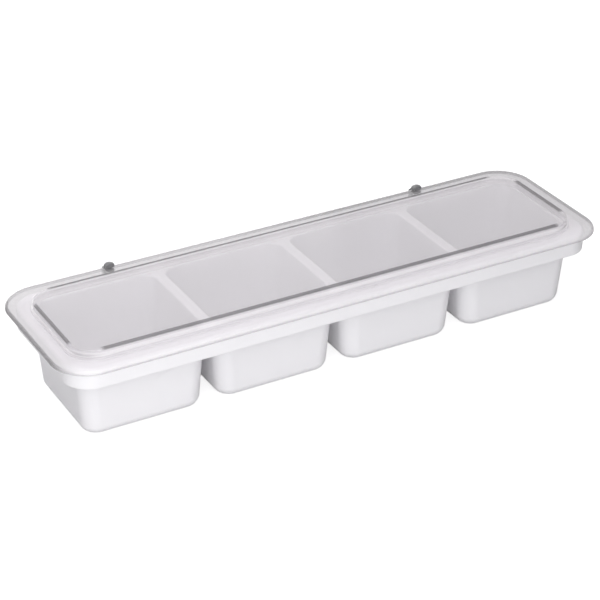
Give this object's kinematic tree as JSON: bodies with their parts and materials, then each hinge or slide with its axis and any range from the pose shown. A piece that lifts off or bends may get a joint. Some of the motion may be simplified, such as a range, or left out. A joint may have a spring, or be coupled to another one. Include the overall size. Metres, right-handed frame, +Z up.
{
  "type": "condiment caddy",
  "caption": "Long white tray with a row of tapered wells under one clear raised-panel lid that flips up on two hinges at the back.",
  "frame": {"origin": "under the middle of the whole caddy, on the surface that the wells stand on", "axes": "+X along the caddy to its right end, +Y to the hinged back, +Z up"},
  "size_m": [0.483, 0.1504, 0.0788],
  "materials": {
    "white_plastic": "satin moulded white plastic with a faint surface grain",
    "clear_plastic": "clear, slightly grey moulded plastic, polished",
    "dark_plastic": "dark grey moulded plastic, satin",
    "steel": "plain steel"
  },
  "bodies": {
    "tray_body": {"tray": "white_plastic", "hinge_bracket_left": "dark_plastic", "hinge_bracket_right": "dark_plastic", "hinge_pin_left": "steel", "hinge_pin_right": "steel", "bracket_rivets": "steel"},
    "lid_body": {"lid": "clear_plastic", "hinge_clip_left": "dark_plastic", "hinge_clip_right": "dark_plastic"}
  },
  "joints": [
    {"name": "lid_hinge", "type": "hinge", "parent": "tray_body", "child": "lid_body", "pos_m": [0, 0.0726, 0.0698], "axis": [-1, 0, 0], "range_deg": [0, 105]}
  ]
}
